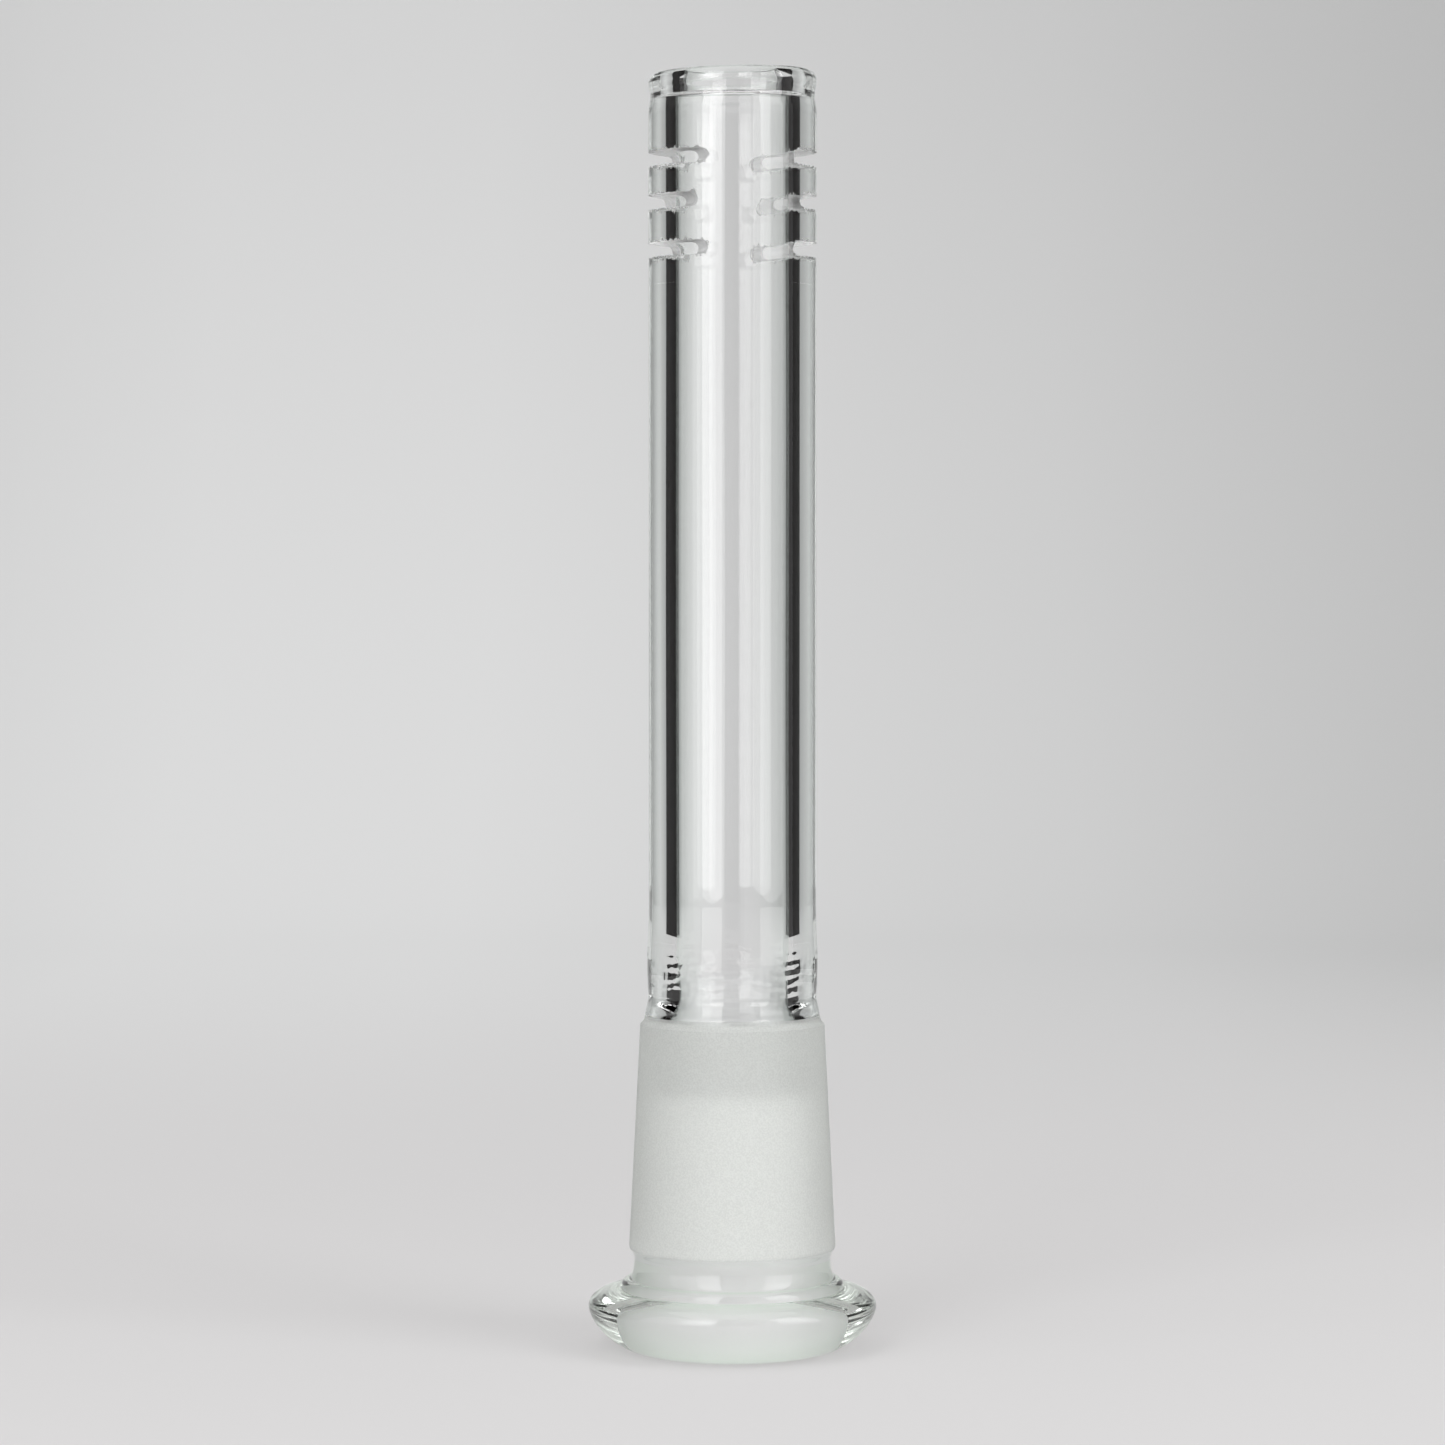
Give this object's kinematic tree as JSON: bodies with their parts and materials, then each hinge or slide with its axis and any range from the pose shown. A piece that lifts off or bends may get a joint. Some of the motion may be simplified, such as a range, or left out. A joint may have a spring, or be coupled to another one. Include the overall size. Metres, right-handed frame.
{
  "type": "ground-joint glass diffuser stem",
  "caption": "Clear heavy-wall glass dip tube with a slotted, fire-polished tip, flame-sealed to a tapered ground joint that is a cone outside and a socket inside, with a thick rim collar.",
  "frame": {"origin": "on the axis of the tube, in the plane of the collar's foot, which is the face the article stands on", "axes": "+Z along the bore, from the collar up to the slotted tip; the camera side of the article is -Y and +X is to the right; the saw cuts come in from 14.5 degrees round from +X and from the opposite side"},
  "size_m": [0.0262, 0.0262, 0.1162],
  "materials": {
    "clear_glass": "clear borosilicate, drawn and fire polished, faint green cast in thick sections",
    "ground_glass": "ground matt outside and inside, fine even grain, translucent",
    "seal_glass": "flame worked, glossy, slightly rippled"
  },
  "bodies": {
    "root": {"rim_collar": "clear_glass", "joint_sleeve": "ground_glass", "seal_ring": "seal_glass", "stem_tube": "clear_glass", "slotted_tip": "clear_glass"}
  },
  "joints": []
}
